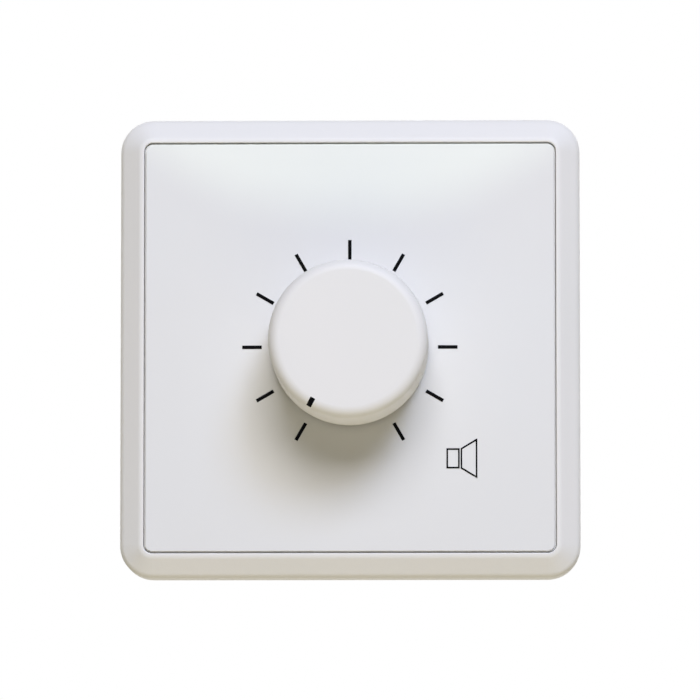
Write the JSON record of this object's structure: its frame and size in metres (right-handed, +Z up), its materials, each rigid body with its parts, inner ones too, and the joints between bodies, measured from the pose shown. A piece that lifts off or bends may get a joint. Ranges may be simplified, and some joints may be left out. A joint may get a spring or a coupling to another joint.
{
  "type": "speaker volume control",
  "caption": "Square white flush-mounted loudspeaker volume control: a stepped round knob with a printed scale, and a switch, transformer, screw terminals and spreading claws behind it.",
  "frame": {"origin": "on the knob's axis, in the wall's plane, midway between the two slots for the box screws", "axes": "+X right as seen from the front, +Y into the wall, +Z up"},
  "size_m": [0.08, 0.0716, 0.08],
  "materials": {
    "white_plastic": "satin white moulded plastic",
    "black_print": "flat black pad print",
    "spring_steel": "plain spring steel",
    "plated_steel": "bright zinc-plated steel",
    "cast_zinc": "die-cast zinc",
    "black_plastic": "matt black moulding",
    "cream_plastic": "natural moulding",
    "grey_plastic": "matt grey moulding",
    "brass": "bare brass",
    "board_laminate": "glass-fibre laminate under green lacquer",
    "core_steel": "stacked transformer sheet, varnished",
    "copper_wire": "enamelled copper wire",
    "yellow_tape": "polyester tape",
    "tinned_wire": "tinned copper wire"
  },
  "bodies": {
    "base": {"cover_frame": "white_plastic", "front_plate": "white_plastic", "scale_marks": "black_print", "speaker_sign": "black_print", "plate_nut": "plated_steel", "plate_washer": "plated_steel", "support_plate": "plated_steel", "switch_nut": "plated_steel", "lock_washer": "spring_steel", "claw_pins": "plated_steel", "switch_bushing": "cast_zinc", "switch_housing": "black_plastic", "stop_ring": "spring_steel", "detent_spring": "spring_steel", "switch_base": "cream_plastic", "fixed_contacts": "brass", "common_contact": "brass", "circuit_board": "board_laminate", "board_spacers": "brass", "board_screws": "plated_steel", "transformer_core": "core_steel", "transformer_bobbin": "cream_plastic", "transformer_winding": "copper_wire", "winding_tape": "yellow_tape", "core_clamp": "plated_steel", "transformer_pins": "tinned_wire", "terminal_block": "grey_plastic", "terminal_cages": "brass"},
    "knob": {"knob": "white_plastic", "pointer_mark": "black_print", "hub_ring": "spring_steel", "switch_shaft": "cast_zinc", "shaft_clip": "spring_steel", "detent_wheel": "black_plastic", "contact_rotor": "cream_plastic", "wiper": "brass"},
    "claw_left": {"claw_left": "plated_steel"},
    "claw_right": {"claw_right": "plated_steel"},
    "claw_screw_left": {"claw_screw_left": "plated_steel"},
    "claw_screw_right": {"claw_screw_right": "plated_steel"},
    "terminal_screw_1": {"terminal_screw_1": "plated_steel"},
    "terminal_screw_2": {"terminal_screw_2": "plated_steel"},
    "terminal_screw_3": {"terminal_screw_3": "plated_steel"},
    "terminal_screw_4": {"terminal_screw_4": "plated_steel"}
  },
  "joints": [
    {"name": "knob_turn", "type": "hinge", "parent": "base", "child": "knob", "pos_m": [0, 0, 0], "axis": [0, 1, 0], "range_deg": [0, 300], "deforming": ["detent_spring"]},
    {"name": "claw_left_swing", "type": "hinge", "parent": "base", "child": "claw_left", "pos_m": [-0.0255, 0.0026, 0], "axis": [0, 0, 1], "range_deg": [0, 20]},
    {"name": "claw_screw_left_drive", "type": "slide", "parent": "base", "child": "claw_screw_left", "axis": [0, 1, 0], "range_m": [0, 0.0017]},
    {"name": "claw_right_swing", "type": "hinge", "parent": "base", "child": "claw_right", "pos_m": [0.0255, 0.0026, 0], "axis": [0, 0, -1], "range_deg": [0, 20]},
    {"name": "claw_screw_right_drive", "type": "slide", "parent": "base", "child": "claw_screw_right", "axis": [0, 1, 0], "range_m": [0, 0.0017]},
    {"name": "terminal_screw_1_drive", "type": "slide", "parent": "base", "child": "terminal_screw_1", "axis": [0, -1, 0], "range_m": [0, 0.002]},
    {"name": "terminal_screw_2_drive", "type": "slide", "parent": "base", "child": "terminal_screw_2", "axis": [0, -1, 0], "range_m": [0, 0.002]},
    {"name": "terminal_screw_3_drive", "type": "slide", "parent": "base", "child": "terminal_screw_3", "axis": [0, -1, 0], "range_m": [0, 0.002]},
    {"name": "terminal_screw_4_drive", "type": "slide", "parent": "base", "child": "terminal_screw_4", "axis": [0, -1, 0], "range_m": [0, 0.002]}
  ],
  "couplings": [
    {"joint": "claw_screw_left_drive", "follows": "claw_left_swing", "m_per_rad": 0.00487},
    {"joint": "claw_screw_right_drive", "follows": "claw_right_swing", "m_per_rad": 0.00487}
  ]
}
